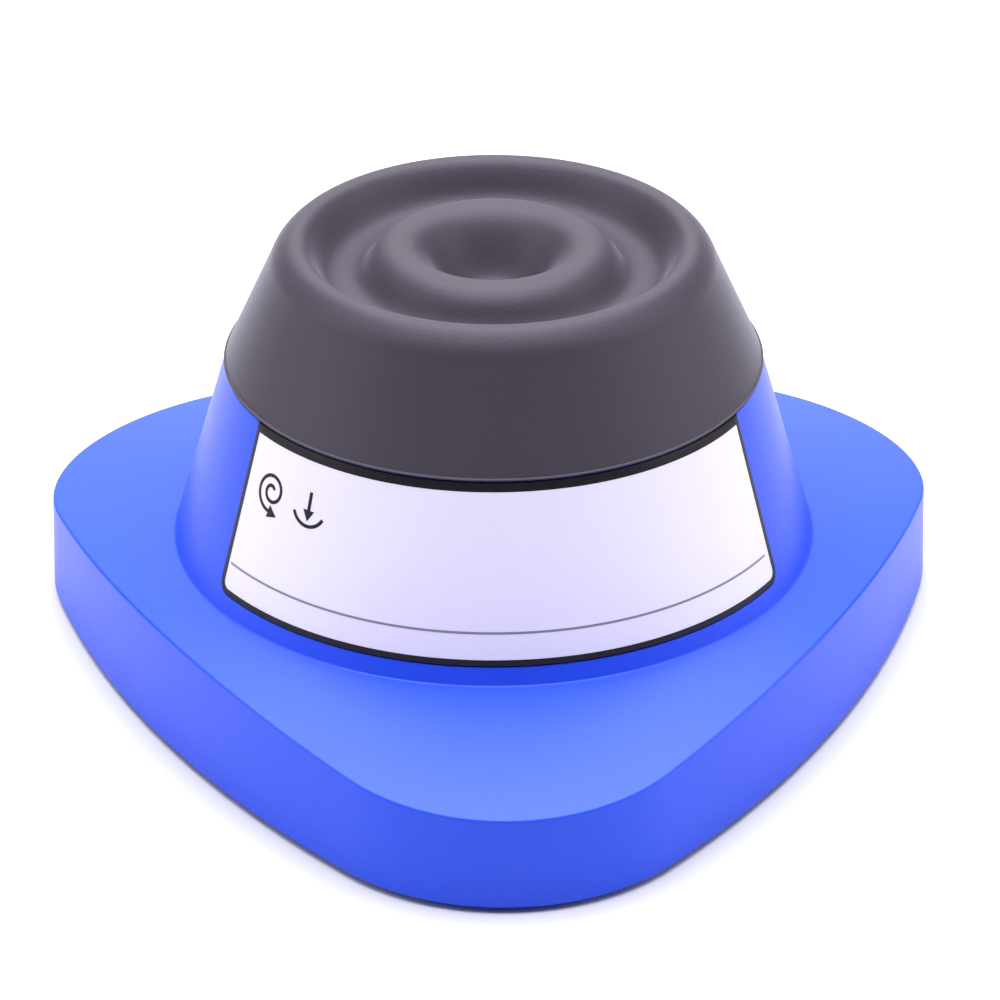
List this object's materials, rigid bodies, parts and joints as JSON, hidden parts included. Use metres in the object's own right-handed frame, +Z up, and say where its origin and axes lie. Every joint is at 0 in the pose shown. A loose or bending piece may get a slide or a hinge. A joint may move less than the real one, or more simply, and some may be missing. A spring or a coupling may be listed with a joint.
{
  "type": "vortex mixer",
  "caption": "Touch-operated laboratory vortex mixer: conical housing on a weighted rounded-triangle base, topped by a rubber cup that orbits to stir a tube pressed into it.",
  "frame": {"origin": "middle of the footprint, on the table", "axes": "+Z up; -Y toward the nose of the base and the label; +Y toward the power inlet; X across, the left and right halves being mirror images"},
  "size_m": [0.1426, 0.138, 0.0709],
  "materials": {
    "blue_abs": "satin moulded",
    "black_abs": "matte moulded",
    "label_print": "printed, satin",
    "charcoal_rubber": "matte moulded",
    "grey_rubber": "matte moulded",
    "grey_nylon": "glass filled",
    "white_nylon": "plain",
    "component_black": "moulded",
    "inlet_black": "moulded",
    "switch_red": "moulded",
    "circuit_board": "solder mask",
    "zinc_steel": "zinc plated",
    "ground_steel": "ground",
    "spring_steel": "drawn",
    "motor_steel": "zinc plated, drawn",
    "black_oxide": "black oxide",
    "ferrite": "bare",
    "bronze": "sintered",
    "nickel_brass": "nickel plated",
    "plate_aluminium": "milled"
  },
  "bodies": {
    "housing": {"housing_shell": "blue_abs", "bottom_cover": "black_abs", "label_plate": "label_print", "ballast_ring": "zinc_steel", "cover_screws": "zinc_steel", "chassis_frame": "grey_nylon", "chassis_screws": "zinc_steel", "guide_posts": "ground_steel", "post_clips": "spring_steel", "power_inlet": "inlet_black", "inlet_nut": "nickel_brass", "control_board": "circuit_board", "board_components": "component_black", "board_screws": "zinc_steel", "touch_switch": "component_black", "foot_1": "grey_rubber", "foot_2": "grey_rubber", "foot_3": "grey_rubber", "return_spring_1": "spring_steel", "return_spring_2": "spring_steel", "return_spring_3": "spring_steel"},
    "switch_button": {"switch_plunger": "switch_red"},
    "carriage": {"carriage_plate": "plate_aluminium", "guide_bushes": "bronze", "pin_guides": "white_nylon", "switch_striker": "ground_steel", "motor_can": "motor_steel", "motor_end_bell": "black_abs", "motor_terminals": "nickel_brass", "motor_magnets": "ferrite", "motor_screws": "zinc_steel"},
    "rotor": {"motor_shaft": "ground_steel", "motor_armature": "ferrite", "eccentric_hub": "ground_steel", "hub_grub_screw": "black_oxide", "bearing_inner_race": "ground_steel", "bearing_balls": "ground_steel"},
    "head": {"bearing_outer_race": "ground_steel", "head_plate": "grey_nylon", "head_pins": "ground_steel", "rubber_cap": "charcoal_rubber"}
  },
  "joints": [
    {"name": "press", "type": "slide", "parent": "housing", "child": "carriage", "axis": [0, 0, 1], "range_m": [-0.0002, 0], "stiffness_N_per_m": 5000, "springref_m": 0.001, "deforming": ["return_spring_1", "return_spring_2", "return_spring_3"]},
    {"name": "motor_spin", "type": "hinge", "parent": "carriage", "child": "rotor", "pos_m": [0, 0.01018, 0.045], "axis": [0, 0, 1], "continuous": true},
    {"name": "head_orbit", "type": "hinge", "parent": "rotor", "child": "head", "pos_m": [0, 0.00818, 0.055], "axis": [0, 0, 1], "continuous": true},
    {"name": "switch_press", "type": "slide", "parent": "housing", "child": "switch_button", "axis": [0, 0, 1], "range_m": [-0.0002, 0]}
  ],
  "couplings": [
    {"joint": "head_orbit", "follows": "motor_spin", "ratio": -1},
    {"joint": "switch_press", "follows": "press", "ratio": 1}
  ]
}
